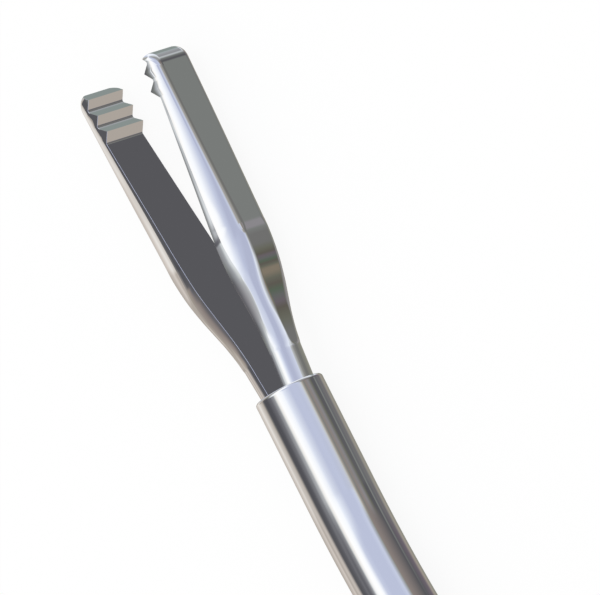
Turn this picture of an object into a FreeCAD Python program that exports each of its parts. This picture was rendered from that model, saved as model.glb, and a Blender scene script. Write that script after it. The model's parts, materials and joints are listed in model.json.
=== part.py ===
# Ophthalmic forceps, working end: two toothed jaws on a core wire inside a thin, gently bent tube.
# The tube slides forward over the sloping backs of the jaws and presses them together.
# Frame: +X points to the tips, +Y to the left jaw, +Z up. The part lies on z = 0, with the
# origin in the middle of its footprint. All sizes are in millimetres and degrees.

import FreeCAD, Part
import math
import os
import re

import Sketcher
from FreeCAD import Placement, Rotation, Vector

doc = FreeCAD.newDocument("forceps")

# Driving sizes

SIZES = {
    # Outer tube
    "tube_outer_radius": 0.32,
    "tube_wall": 0.034,
    "mouth_round_share": 0.7,
    "bore_edge_share": 0.18,
    "bend_radius": 13.5,
    "bend_angle": 8.0,
    "tube_rear_length": 9.1,
    # Core: a head that carries the jaws, on a wire that runs out of the tube's rear end
    "core_head_radius": 0.225,
    "core_head_length": 0.24,
    "core_head_round": 0.03,
    "wire_radius": 0.15,
    "tail_length": 1.8,
    "bend_margin": 0.075,
    # How the jaws stand in the tube
    "pivot_depth": 0.7,
    "spread_angle": 5.7,
    "mouth_clearance": 0.0095,
    "stem_end_clearance": 0.006,
    # One jaw, drawn closed, with stations counted from its pivot towards the tip
    "stem_half_gap": 0.025,
    "stem_radius": 0.1655,
    "jaw_length": 3.84,
    "flare_start": 1.1,
    "flare_past_elbow": 0.02,
    "flare_swell": 0.031,
    "elbow_radius": 0.284,
    "elbow_offset": 0.052,
    "tip_radius": 0.234,
    "tip_offset": 0.012,
    # Back of the jaw
    "ramp_start": 1.0,
    "ramp_foot_radius": 4.3,
    "ramp_angle": 9.2,
    "ramp_length": 0.033,
    "elbow_arc_radius": 1.565,
    "back_taper_angle": 4.78,
    "nose_round": 0.145,
    "back_edge_round": 0.055,
    # Gripping face and teeth
    "face_start": 2.03,
    "face_relief_angle": 1.2,
    "tooth_pitch": 0.163,
    "tooth_height": 0.082,
    "first_crest_setback": 0.077,
    "nose_chamfer": 0.03,
}
TOOTH_COUNT = 3
FLARE_SECTIONS = 5
OVERRUN = 0.2

sheet = doc.addObject("Spreadsheet::Sheet", "sizes")
for row, (alias, number) in enumerate(SIZES.items(), start=1):
    sheet.set(f"A{row}", alias.replace("_", " "))
    sheet.set(f"B{row}", str(number))
    sheet.setAlias(f"B{row}", alias)
doc.recompute()


def cells(formula):
    """A formula in plain size names, with each name turned into its cell."""
    return re.sub(r"[a-z_]+", lambda word: "sizes." + word[0] if word[0] in SIZES else word[0], formula)


def value(formula):
    """The number that a formula in plain size names gives."""
    return float(sheet.evalExpression(cells(formula)))


# Sizes that follow from the driving ones

BORE_RADIUS = "(tube_outer_radius - tube_wall)"
STEM_REACH = f"({BORE_RADIUS} - mouth_clearance - pivot_depth * sin(spread_angle))"
STEM_OUTER = f"(({STEM_REACH}) / cos(spread_angle))"
STEM_OFFSET = f"({STEM_OUTER} - stem_radius)"
HEAD_FACE = f"(pivot_depth + {STEM_OUTER} * sin(spread_angle) + stem_end_clearance)"
HEAD_BACK = f"({HEAD_FACE} + core_head_length)"
RAMP_TOP = "(ramp_start + ramp_foot_radius * sin(ramp_angle) + ramp_length * cos(ramp_angle))"
ELBOW_END = f"({RAMP_TOP} + elbow_arc_radius * (sin(ramp_angle) + sin(back_taper_angle)))"
FLARE_END = f"({ELBOW_END} + flare_past_elbow)"
BEND_START = f"({HEAD_BACK} + bend_margin)"


# Sketch helpers


def sketch_on(body, role, name, station="0"):
    """A sketch on one of the body's own planes, moved out along its normal to a station."""
    sketch = body.newObject("Sketcher::SketchObject", name)
    plane = [feature for feature in body.Origin.OriginFeatures if feature.Role == role][0]
    sketch.AttachmentSupport = [(plane, "")]
    sketch.MapMode = "FlatFace"
    if station != "0":
        sketch.setExpression("AttachmentOffset.Base.z", cells(station))
    return sketch


def dimension(sketch, kind, *where, formula):
    """One constraint of a sketch, driven by a formula."""
    number = value(formula)
    if kind == "Angle":
        number = math.radians(number)
    index = sketch.addConstraint(Sketcher.Constraint(kind, *where, number))
    sketch.setExpression(f"Constraints[{index}]", cells(formula))


def pin_point(sketch, shape, end, x, y):
    """Hold one end of a line or arc at a place given by two formulas."""
    for kind, formula in (("DistanceX", x), ("DistanceY", y)):
        dimension(sketch, kind, -1, 1, shape, end, formula=formula)


def add_circle(sketch, radius, offset="0"):
    """A circle whose centre lies on the sketch's first axis."""
    centre = Vector(value(offset), 0, 0)
    shape = sketch.addGeometry(Part.Circle(centre, Vector(0, 0, 1), value(radius)))
    pin_point(sketch, shape, 3, offset, "0")
    dimension(sketch, "Radius", shape, formula=radius)


def add_polygon(sketch, corners):
    """A closed outline through corners given as pairs of formulas."""
    points = [Vector(value(x), value(y), 0) for x, y in corners]
    shapes = []
    for start, end in zip(points, points[1:] + points[:1]):
        shapes.append(sketch.addGeometry(Part.LineSegment(start, end)))
    for shape, following in zip(shapes, shapes[1:] + shapes[:1]):
        sketch.addConstraint(Sketcher.Constraint("Coincident", shape, 2, following, 1))
    for shape, (x, y) in zip(shapes, corners):
        pin_point(sketch, shape, 1, x, y)


def centre_line(body, name, start, end_length):
    """The tube's centre line from a place behind the mouth: straight, bend, straight."""
    sketch = sketch_on(body, "XY_Plane", name)
    radius = value("bend_radius")
    turn = math.radians(value("bend_angle"))
    bend = Vector(-value(BEND_START), 0, 0)
    heading = Vector(-math.cos(turn), -math.sin(turn), 0)
    bend_end = bend + Vector(-radius * math.sin(turn), radius * (math.cos(turn) - 1), 0)
    arc_centre = bend + Vector(0, -radius, 0)
    first = sketch.addGeometry(Part.LineSegment(Vector(-value(start), 0, 0), bend))
    circle = Part.Circle(arc_centre, Vector(0, 0, 1), radius)
    bow = sketch.addGeometry(Part.ArcOfCircle(circle, math.pi / 2, math.pi / 2 + turn))
    last = sketch.addGeometry(Part.LineSegment(bend_end, bend_end + heading * value(end_length)))
    pin_point(sketch, first, 1, f"0 - {start}", "0")
    pin_point(sketch, first, 2, f"0 - {BEND_START}", "0")
    sketch.addConstraint(Sketcher.Constraint("Tangent", first, 2, bow, 1))
    sketch.addConstraint(Sketcher.Constraint("Tangent", bow, 2, last, 1))
    dimension(sketch, "Radius", bow, formula="bend_radius")
    bend_end_x = f"0 - {BEND_START} - bend_radius * sin(bend_angle)"
    dimension(sketch, "DistanceX", -1, 1, bow, 2, formula=bend_end_x)
    dimension(sketch, "Distance", last, formula=end_length)
    return sketch


def add_pipe(body, name, section, path):
    """A section carried along a path."""
    pipe = body.newObject("PartDesign::AdditivePipe", name)
    pipe.Profile = section
    pipe.Spine = (path, [f"Edge{number}" for number in (1, 2, 3)])
    doc.recompute()
    return pipe


def round_rims(body, name, station, radius, rounding):
    """Round the circular edges of one radius that lie on the plane at a station."""
    base = body.Tip
    edges = []
    for number, edge in enumerate(base.Shape.Edges, start=1):
        curve = edge.Curve
        on_plane = abs(edge.BoundBox.XMin - station) < 1e-4 and edge.BoundBox.XLength < 1e-4
        if on_plane and isinstance(curve, Part.Circle) and abs(curve.Radius - radius) < 1e-4:
            edges.append(f"Edge{number}")
    fillet = body.newObject("PartDesign::Fillet", name)
    fillet.Base = (base, edges)
    fillet.setExpression("Radius", cells(rounding))
    doc.recompute()


# Outer tube: thin-walled, straight at the mouth, with one gentle bend behind it


def make_outer_tube():
    body = doc.addObject("PartDesign::Body", "outer_tube")
    wall = sketch_on(body, "YZ_Plane", "tube_wall")
    add_circle(wall, "tube_outer_radius")
    add_circle(wall, BORE_RADIUS)
    path = centre_line(body, "tube_path", "0", "tube_rear_length")
    add_pipe(body, "tube_run", wall, path)
    round_rims(body, "mouth_rounding", 0, value("tube_outer_radius"), "tube_wall * mouth_round_share")
    round_rims(body, "bore_edge", 0, value(BORE_RADIUS), "tube_wall * bore_edge_share")
    return body


# Core: the wire that the handle holds, with the head that the two jaw stems stand on


def make_core_wire():
    body = doc.addObject("PartDesign::Body", "core_wire")
    section = sketch_on(body, "YZ_Plane", "wire_section", f"0 - {HEAD_BACK}")
    add_circle(section, "wire_radius")
    path = centre_line(body, "wire_path", HEAD_BACK, "tube_rear_length + tail_length")
    add_pipe(body, "wire_run", section, path)
    head = sketch_on(body, "YZ_Plane", "head_section", f"0 - {HEAD_FACE}")
    add_circle(head, "core_head_radius")
    pad = body.newObject("PartDesign::Pad", "head")
    pad.Profile = head
    pad.Reversed = True
    pad.setExpression("Length", cells("core_head_length"))
    doc.recompute()
    for name, plane in (("head_front_rounding", HEAD_FACE), ("head_back_rounding", HEAD_BACK)):
        round_rims(body, name, -value(plane), value("core_head_radius"), "core_head_round")
    return body


# One jaw, drawn closed with its outer side towards +Y


def add_blank(body):
    """The round blank: half-round stem, flare up to the elbow, slight taper to the tip."""
    stem = sketch_on(body, "YZ_Plane", "stem_section")
    add_circle(stem, "stem_radius", STEM_OFFSET)
    pad = body.newObject("PartDesign::Pad", "stem")
    pad.Profile = stem
    pad.setExpression("Length", cells("flare_start"))
    sections = []
    for number in range(FLARE_SECTIONS):
        share = number / (FLARE_SECTIONS - 1)
        blend = share * share * (3 - 2 * share)
        station = f"flare_start + ({FLARE_END} - flare_start) * {share}"
        swell = 4 * blend * (1 - blend)
        radius = f"stem_radius + (elbow_radius - stem_radius) * {blend}"
        offset = f"{STEM_OFFSET} * {1 - blend} + elbow_offset * {blend} + flare_swell * {swell}"
        section = sketch_on(body, "YZ_Plane", f"flare_section_{number + 1}", station)
        add_circle(section, radius, offset)
        sections.append(section)
    flare = body.newObject("PartDesign::AdditiveLoft", "flare")
    flare.Profile = sections[0]
    flare.Sections = sections[1:]
    tip = sketch_on(body, "YZ_Plane", "tip_section", f"jaw_length + {OVERRUN}")
    add_circle(tip, "tip_radius", "tip_offset")
    taper = body.newObject("PartDesign::AdditiveLoft", "taper")
    taper.Profile = sections[-1]
    taper.Sections = [tip]
    doc.recompute()


def cut_back(body):
    """The back: hollow ramp foot, straight ramp, rounded elbow, flat back and round nose."""
    sketch = sketch_on(body, "XY_Plane", "back_outline")
    rise = math.radians(value("ramp_angle"))
    fall = math.radians(value("back_taper_angle"))
    foot_radius = value("ramp_foot_radius")
    elbow_radius = value("elbow_arc_radius")
    nose = value("nose_round")
    end = value("jaw_length")
    top = value("elbow_radius") + OVERRUN

    foot_centre = Vector(value("ramp_start"), value(STEM_OUTER) + foot_radius, 0)
    foot_end = foot_centre + Vector(math.sin(rise), -math.cos(rise), 0) * foot_radius
    foot_start_angle = math.asin((value("flare_start") - foot_centre.x) / foot_radius) - math.pi / 2
    ramp_end = foot_end + Vector(math.cos(rise), math.sin(rise), 0) * value("ramp_length")
    elbow_centre = ramp_end + Vector(math.sin(rise), -math.cos(rise), 0) * elbow_radius
    elbow_end = elbow_centre + Vector(math.sin(fall), math.cos(fall), 0) * elbow_radius
    back_at_nose = elbow_end.y - (end - nose - elbow_end.x) * math.tan(fall)
    nose_centre = Vector(end - nose, back_at_nose - nose / math.cos(fall), 0)
    nose_start = nose_centre + Vector(math.sin(fall), math.cos(fall), 0) * nose

    upright = Vector(0, 0, 1)
    foot_arc = Part.ArcOfCircle(Part.Circle(foot_centre, upright, foot_radius),
                                foot_start_angle, rise - math.pi / 2)
    elbow_arc = Part.ArcOfCircle(Part.Circle(elbow_centre, upright, elbow_radius),
                                 math.pi / 2 - fall, math.pi / 2 + rise)
    nose_arc = Part.ArcOfCircle(Part.Circle(nose_centre, upright, nose), 0, math.pi / 2 - fall)
    foot_start = foot_arc.StartPoint
    corners = [Vector(end, 0, 0), Vector(end, -top, 0), Vector(end + 2 * OVERRUN, -top, 0),
               Vector(end + 2 * OVERRUN, top, 0), Vector(foot_start.x, top, 0), foot_start]
    corners[0] = Vector(end, nose_centre.y, 0)

    foot = sketch.addGeometry(foot_arc)
    ramp = sketch.addGeometry(Part.LineSegment(foot_end, ramp_end))
    elbow = sketch.addGeometry(elbow_arc)
    back = sketch.addGeometry(Part.LineSegment(elbow_end, nose_start))
    round_nose = sketch.addGeometry(nose_arc)
    outside = []
    for start, stop in zip(corners, corners[1:]):
        outside.append(sketch.addGeometry(Part.LineSegment(start, stop)))

    joined = [("Tangent", foot, 2, ramp, 1), ("Tangent", ramp, 2, elbow, 2),
              ("Tangent", elbow, 1, back, 1), ("Tangent", back, 2, round_nose, 2),
              ("Tangent", round_nose, 1, outside[0], 1), ("Coincident", outside[-1], 2, foot, 1)]
    for first, second in zip(outside, outside[1:]):
        joined.append(("Coincident", first, 2, second, 1))
    for constraint in joined:
        sketch.addConstraint(Sketcher.Constraint(*constraint))
    for shape in (outside[0], outside[2], outside[4]):
        sketch.addConstraint(Sketcher.Constraint("Vertical", shape))
    for shape in (outside[1], outside[3]):
        sketch.addConstraint(Sketcher.Constraint("Horizontal", shape))

    pin_point(sketch, foot, 3, "ramp_start", f"{STEM_OUTER} + ramp_foot_radius")
    dimension(sketch, "Radius", foot, formula="ramp_foot_radius")
    dimension(sketch, "DistanceX", -1, 1, foot, 1, formula="flare_start")
    dimension(sketch, "Angle", ramp, formula="ramp_angle")
    dimension(sketch, "Distance", ramp, formula="ramp_length")
    dimension(sketch, "Radius", elbow, formula="elbow_arc_radius")
    dimension(sketch, "Angle", back, formula="0 - back_taper_angle")
    dimension(sketch, "Radius", round_nose, formula="nose_round")
    dimension(sketch, "DistanceX", -1, 1, outside[0], 1, formula="jaw_length")
    dimension(sketch, "DistanceY", -1, 1, outside[0], 2, formula=f"0 - elbow_radius - {OVERRUN}")
    dimension(sketch, "DistanceX", -1, 1, outside[2], 1, formula=f"jaw_length + 2 * {OVERRUN}")
    dimension(sketch, "DistanceY", -1, 1, outside[2], 2, formula=f"elbow_radius + {OVERRUN}")
    cut_through(body, "back_cut", sketch)


def round_back(body):
    """Round the two long edges of the flat back, from the elbow round the nose."""
    base = body.Tip
    beyond = value(FLARE_END)
    limit = value("jaw_length")
    edges = []
    for number, edge in enumerate(base.Shape.Edges, start=1):
        middle = edge.CenterOfMass
        box = edge.BoundBox
        on_side = abs(middle.z) > value("tip_radius") / 4 and middle.y > 0
        if on_side and box.XMin > beyond - 0.001 and box.XMax < limit + 1e-6 and box.XLength > 0.02:
            edges.append(f"Edge{number}")
    fillet = body.newObject("PartDesign::Fillet", "back_edge_rounding")
    fillet.Base = (base, edges)
    fillet.setExpression("Radius", cells("back_edge_round"))
    doc.recompute()


def face_height(station):
    """Formula for the height of the gripping face at a station."""
    return f"(stem_half_gap + ({station} - face_start) * tan(face_relief_angle))"


def cut_face(body, setback):
    """The inner side: flat stem face, relieved gripping face and the row of saw teeth."""
    corners = [(f"0 - {OVERRUN}", "stem_half_gap"), ("face_start", "stem_half_gap")]
    crests = [f"jaw_length - {setback} - {number} * tooth_pitch" for number in range(TOOTH_COUNT)]
    for crest in reversed(crests):
        root = f"({crest} - tooth_pitch / 2)"
        corners.append((root, face_height(root)))
        if value(crest) < value("jaw_length"):
            corners.append((f"({crest})", f"{face_height(f'({crest})')} - tooth_height"))
    flank = "tooth_height / (tooth_pitch / 2)"
    shortened = "(jaw_length - nose_chamfer)"
    if value(crests[0]) < value("jaw_length"):
        along = f"({shortened} - ({crests[0]})) * {flank}"
        height = f"({face_height(f'({crests[0]})')} - tooth_height + {along})"
    else:
        along = f"({shortened} - ({crests[0]} - tooth_pitch / 2)) * {flank}"
        height = f"({face_height(f'({crests[0]} - tooth_pitch / 2)')} - {along})"
    below = f"0 - elbow_radius - {OVERRUN}"
    beyond = f"jaw_length + 2 * {OVERRUN}"
    corners.append((shortened, height))
    corners.append((beyond, f"{height} + nose_chamfer + 2 * {OVERRUN}"))
    corners.append((beyond, below))
    corners.append((f"0 - {OVERRUN}", below))
    sketch = sketch_on(body, "XY_Plane", "face_outline")
    add_polygon(sketch, corners)
    cut_through(body, "face_cut", sketch)


def cut_through(body, name, sketch):
    """Cut a sketched outline away over the body's whole width."""
    before = body.Shape.Volume
    pocket = body.newObject("PartDesign::Pocket", name)
    pocket.Profile = sketch
    pocket.Type = "ThroughAll"
    pocket.Midplane = True
    doc.recompute()
    if not 0 < body.Shape.Volume < before:
        raise RuntimeError(f"{name} cut nothing from {body.Label}")


def make_jaw(name, setback):
    body = doc.addObject("PartDesign::Body", name)
    add_blank(body)
    cut_back(body)
    round_back(body)
    cut_face(body, setback)
    return body


# Assembly: the jaws stand spread, and the teeth of one face the gaps of the other

outer_tube = make_outer_tube()
core_wire = make_core_wire()
left_jaw = make_jaw("left_jaw", "first_crest_setback")
right_jaw = make_jaw("right_jaw", "(first_crest_setback - tooth_pitch / 2)")

pivot = Vector(-value("pivot_depth"), 0, 0)
upwards = Vector(0, 0, 1)
turned_over = Rotation(Vector(1, 0, 0), 180)
left_jaw.Placement = Placement(pivot, Rotation(upwards, value("spread_angle")))
right_jaw.Placement = Placement(pivot, Rotation(upwards, -value("spread_angle")) * turned_over)
doc.recompute()

pieces = [outer_tube, core_wire, left_jaw, right_jaw]
whole = Part.makeCompound([piece.Shape for piece in pieces]).optimalBoundingBox()
footprint = Vector((whole.XMin + whole.XMax) / 2, (whole.YMin + whole.YMax) / 2, whole.ZMin)
for piece in pieces:
    piece.Placement = Placement(piece.Placement.Base - footprint, piece.Placement.Rotation)
doc.recompute()

# Checks and files

for item in doc.Objects:
    if "Invalid" in item.State or "Error" in item.State:
        raise RuntimeError(f"{item.Label} failed: {item.State}")
os.makedirs("parts", exist_ok=True)
for piece in pieces:
    if piece.Shape.isNull() or not piece.Shape.isValid() or len(piece.Shape.Solids) != 1:
        raise RuntimeError(f"{piece.Label} is not one sound solid")
    piece.Shape.exportStep(f"parts/{piece.Label}.step")
    box = piece.Shape.optimalBoundingBox()
    print(f"{piece.Label}: volume {piece.Shape.Volume:.5f}, x {box.XMin:.3f} to {box.XMax:.3f},",
          f"y {box.YMin:.3f} to {box.YMax:.3f}, z {box.ZMin:.3f} to {box.ZMax:.3f}")
print(f"mouth centre at {-footprint.x:.4f}, {-footprint.y:.4f}, {-footprint.z:.4f}")
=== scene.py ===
# %% [markdown]
# # Ophthalmic forceps, working end
# Two toothed steel jaws spring apart at the end of a slender polished tube. A wire inside the tube
# holds them, and the tube slides forward over their ramps and closes them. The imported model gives
# every place. The cells below make a finer surface over each solid, then the steel, the studio
# that it mirrors, and the camera. All of it is in metres and in the model's own frame.

# %% Load the frame
import json
import math

import bmesh
import bpy
import numpy as np
from mathutils import Matrix, Vector


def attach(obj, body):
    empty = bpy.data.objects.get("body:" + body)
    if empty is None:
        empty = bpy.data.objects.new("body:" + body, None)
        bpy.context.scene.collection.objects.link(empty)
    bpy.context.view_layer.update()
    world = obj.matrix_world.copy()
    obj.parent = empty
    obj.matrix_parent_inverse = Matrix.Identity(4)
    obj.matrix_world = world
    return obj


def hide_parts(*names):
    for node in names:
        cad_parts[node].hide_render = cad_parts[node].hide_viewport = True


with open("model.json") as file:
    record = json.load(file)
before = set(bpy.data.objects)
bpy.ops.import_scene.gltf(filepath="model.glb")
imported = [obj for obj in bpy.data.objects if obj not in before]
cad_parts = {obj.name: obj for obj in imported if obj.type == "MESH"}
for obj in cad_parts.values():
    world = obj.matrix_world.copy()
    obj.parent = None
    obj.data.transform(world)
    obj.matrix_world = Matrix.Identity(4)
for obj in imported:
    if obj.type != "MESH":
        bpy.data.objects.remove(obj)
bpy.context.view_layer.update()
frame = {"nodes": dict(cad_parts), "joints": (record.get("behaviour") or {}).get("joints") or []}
print("nodes in the frame:", sorted(frame["nodes"]))

# %% [markdown]
# ## Where everything sits
# Parts this small are easiest to read in millimetres, while the objects here are in metres, so
# one factor turns the one into the other. The place that both jaws turn about could be typed in.
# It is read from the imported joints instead, and then no piece can drift away from the solids. The
# tube's mouth lies on the same axis, a known way in front of it.

# %% The jaws' turning point and the tube's mouth
MM = 0.001
JOINTS = {joint["name"]: joint for joint in frame["joints"]}
PIVOT = np.array(JOINTS["left_jaw_flex"]["pos_m"], float) / MM
PIVOT_DEPTH = 0.7
MOUTH = PIVOT + np.array([PIVOT_DEPTH, 0, 0])
SPREAD = math.radians(5.7)
print("the jaws turn about", PIVOT.round(3), "mm, and the mouth is at", MOUTH.round(3), "mm")

# %% [markdown]
# ## Surfaces for a mirror
# On polished steel every facet of the mesh shows as a break in a reflection. The solids' own
# meshes could be bevelled and subdivided, but their long thin triangles would ripple. So each
# piece is built from rings of points, one after another along its length, with four-sided faces
# between them. The rings lie on the true curves, and smooth shading does the rest. Where the real
# part has a crisp edge, the mesh edges along it are marked sharp.

# %% Number the points of a ring
ONE_PLACE = 5e-9


def add_ring(points, outline):
    """Adds a ring's points and gives their numbers. Points in one place share a number."""
    ring = []
    for spot in outline:
        same = [k for k in ring if math.dist(spot, points[k]) < ONE_PLACE]
        if not same:
            points.append(tuple(spot))
        ring.append(same[0] if same else len(points) - 1)
    return ring


print("three points, two of them in one place:", add_ring([], [(0, 0), (1, 0), (1, 0)]))


# %% Join rings of points into a mesh
def join_rings(name, points, rings, loop=False):
    """Faces from ring to ring. The two ends are joined, or each is capped if it is open."""
    around = len(rings[0])
    pairs = list(zip(rings, rings[1:])) + ([(rings[-1], rings[0])] if loop else [])
    faces = [(first[k], first[(k + 1) % around], second[(k + 1) % around], second[k])
             for first, second in pairs for k in range(around)]
    if not loop:
        ends = (rings[0], rings[-1][::-1])
        faces += [end for end in ends if len(set(end)) > around / 2]
    faces = [tuple(dict.fromkeys(face)) for face in faces]
    faces = [face for face in faces if len(face) > 2]
    mesh = bpy.data.meshes.new(name)
    mesh.from_pydata(points, [], faces)
    mesh.validate()
    print(name, "has", len(rings), "rings of", around, "points")
    return mesh


def ring_edges(ring, span=None):
    """The edges of a ring, all of them or those that start at the numbers in span."""
    count = len(ring)
    return {frozenset((ring[k % count], ring[(k + 1) % count])) for k in span or range(count)}


print("a ring of four points has", len(ring_edges([0, 1, 2, 3])), "edges")


# %% Shade the mesh smooth and keep its sharp edges
def shade(mesh, sharp):
    """Turns the surface outwards and shades it smooth, apart from the sharp edges."""
    work = bmesh.new()
    work.from_mesh(mesh)
    bmesh.ops.recalc_face_normals(work, faces=work.faces)
    for face in work.faces:
        face.smooth = True
    for edge in work.edges:
        edge.smooth = frozenset(v.index for v in edge.verts) not in sharp
    crisp = sum(not edge.smooth for edge in work.edges)
    work.to_mesh(mesh)
    work.free()
    print(mesh.name, "has", len(mesh.polygons), "faces and", crisp, "sharp edges")


# %% [markdown]
# ## Pieces that move with the model
# Each surface stands for one solid and moves with that solid's body. The pieces are also hidden
# from reflections. A jaw beside a jaw would mirror it, but in the photograph the steel mirrors
# little else than the studio, and the picture is calmer that way.

# %% Add a piece in place of its solid
def add_piece(mesh, node, body):
    """An object for a mesh. It replaces the solid and rides on the solid's body."""
    piece = bpy.data.objects.new(mesh.name, mesh)
    bpy.context.scene.collection.objects.link(piece)
    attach(piece, body)
    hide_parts(node)
    piece.visible_glossy = False
    print(piece.name, "stands for", node, "and rides on", body)
    return piece


# %% [markdown]
# ## The jaw's back, seen from the side
# The real jaw is ground from a rod of hardened steel. Its back starts at the height of the thin
# stem, sweeps up in a hollow foot to the ramp that the tube climbs, turns over a wide elbow, falls
# towards the tip and ends in a round nose. A curve object could be bent along this line by hand.
# A function is better here, because every section across the jaw asks it for the back's height
# and slope at its own station, which is the distance from the stem's rear end in millimetres.

# %% Sizes of the back
JAW_LENGTH = 3.84
STEM_OUTER = 0.208
RAMP_START = 1.0
FOOT_RADIUS = 4.3
RAMP_ANGLE = math.radians(9.2)
RAMP_RUN = 0.033
ELBOW_ARC = 1.85
FALL = math.radians(4.78)
NOSE = 0.145

up, along = math.sin(RAMP_ANGLE), math.cos(RAMP_ANGLE)
FOOT_END = (RAMP_START + FOOT_RADIUS * up, STEM_OUTER + FOOT_RADIUS * (1 - along))
RAMP_END = (FOOT_END[0] + RAMP_RUN * along, FOOT_END[1] + RAMP_RUN * up)
ELBOW_CENTRE = (RAMP_END[0] + ELBOW_ARC * up, RAMP_END[1] - ELBOW_ARC * along)
ELBOW_END = (ELBOW_CENTRE[0] + ELBOW_ARC * math.sin(FALL),
             ELBOW_CENTRE[1] + ELBOW_ARC * math.cos(FALL))
NOSE_X = JAW_LENGTH - NOSE
NOSE_Y = ELBOW_END[1] - (NOSE_X - ELBOW_END[0]) * math.tan(FALL) - NOSE / math.cos(FALL)
NOSE_START = NOSE_X + NOSE * math.sin(FALL)
print("the ramp ends at", np.round(RAMP_END, 3), "mm and the elbow at", np.round(ELBOW_END, 3))


# %% The back's height at any station
def back_line(x):
    """Height of the jaw's back over its mid plane, and its slope, at a station."""
    if x < RAMP_START:
        return STEM_OUTER, 0.0
    if x < FOOT_END[0]:
        run = x - RAMP_START
        rest = math.sqrt(FOOT_RADIUS**2 - run**2)
        return STEM_OUTER + FOOT_RADIUS - rest, run / rest
    if x < RAMP_END[0]:
        return FOOT_END[1] + (x - FOOT_END[0]) * math.tan(RAMP_ANGLE), math.tan(RAMP_ANGLE)
    if x < ELBOW_END[0]:
        run = x - ELBOW_CENTRE[0]
        rest = math.sqrt(ELBOW_ARC**2 - run**2)
        return ELBOW_CENTRE[1] + rest, -run / rest
    return ELBOW_END[1] - (x - ELBOW_END[0]) * math.tan(FALL), -math.tan(FALL)


print("height of the back each millimetre:", [round(back_line(x)[0], 3) for x in (0, 1, 2, 3)])

# %% [markdown]
# ## The jaw's inner side, with its teeth
# The inner side is flat along the stem. From the flare on it is relieved by a small angle, so
# that the faces stay apart when the jaws close and only the teeth meet. There are three saw
# teeth, with small rounded gullets between them. They could be cut with a boolean, which leaves
# poor faces. Instead the sections follow this line, and one stands at each of its corners.

# %% Sizes of the inner side
HALF_GAP = 0.025
FACE_START = 2.03
RELIEF = math.tan(math.radians(1.2))
TEETH = 3
PITCH = 0.163
TOOTH = 0.082
CREST_SETBACK = 0.077
CHAMFER = 0.03
GULLET = 0.024


def face_line(x):
    """Height of the inner face at a station, before the teeth."""
    return HALF_GAP + max(x - FACE_START, 0) * RELIEF


print("the face is relieved by", round(face_line(JAW_LENGTH) - HALF_GAP, 3), "mm at the tip")


# %% Round the corners of a line
GULLET_STEPS = 5


def rounded(corners):
    """A line through corners (x, y, rounding radius), with an arc at each rounded corner.
    Gives points and, for each, whether the line turns sharply there."""
    points = []
    for i, (x, y, radius) in enumerate(corners):
        here = np.array([x, y])
        if radius == 0 or i in (0, len(corners) - 1):
            points.append((x, y, i not in (0, len(corners) - 1)))
            continue
        before = np.array(corners[i - 1][:2]) - here
        after = np.array(corners[i + 1][:2]) - here
        before /= np.linalg.norm(before)
        after /= np.linalg.norm(after)
        half = math.acos(np.clip(before @ after, -1, 1)) / 2
        reach = radius / math.tan(half)
        middle = (before + after) / np.linalg.norm(before + after)
        centre = here + middle * radius / math.sin(half)
        a, b = here + before * reach - centre, here + after * reach - centre
        turn = math.acos(np.clip(a @ b / radius**2, -1, 1))
        for k in range(GULLET_STEPS + 1):
            t = k / GULLET_STEPS
            spoke = (math.sin((1 - t) * turn) * a + math.sin(t * turn) * b) / math.sin(turn)
            points.append((*(centre + spoke), k in (0, GULLET_STEPS)))
    return points


corner = [(0.0, 0.0, 0), (1.0, 0.0, 0.2), (1.0, 1.0, 0)]
print("a rounded square corner has", len(rounded(corner)) - 2, "points")


# %% The inner side's line
def inner_line(setback):
    """The line from the stem to the tip. The setback is from the tip to the first crest."""
    corners = [(0, HALF_GAP, 0), (FACE_START, HALF_GAP, 0)]
    crests = [JAW_LENGTH - setback - n * PITCH for n in range(TEETH)]
    for crest in reversed(crests):
        root = crest - PITCH / 2
        corners.append((root, face_line(root), GULLET))
        if crest < JAW_LENGTH:
            corners.append((crest, face_line(crest) - TOOTH, 0))
    x, y, _ = corners[-1]
    flank = TOOTH / (PITCH / 2)
    rising = crests[0] < JAW_LENGTH
    end_x = JAW_LENGTH - CHAMFER
    end_y = y + (end_x - x) * (flank if rising else -flank)
    corners += [(end_x, end_y, 0), (JAW_LENGTH, end_y + CHAMFER, 0)]
    return rounded(corners)


print("the toothed line has", len(inner_line(CREST_SETBACK)), "points")

# %% [markdown]
# ## Across the jaw
# Cut across, a jaw has a flat inner face, a narrow upright band beside it, a crease, a rounder
# side and a flat back with rounded edges. The stem is a plain half round, and the flare between
# the two is the widest place. The shape could be sculpted, or drawn as a few profiles and lofted.
# A table of stations says the same in a few rows, and a row can be changed without touching the
# others. Between the rows the values run on smooth curves that never overshoot, because even a
# slight bulge would show in the mirror.

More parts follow.
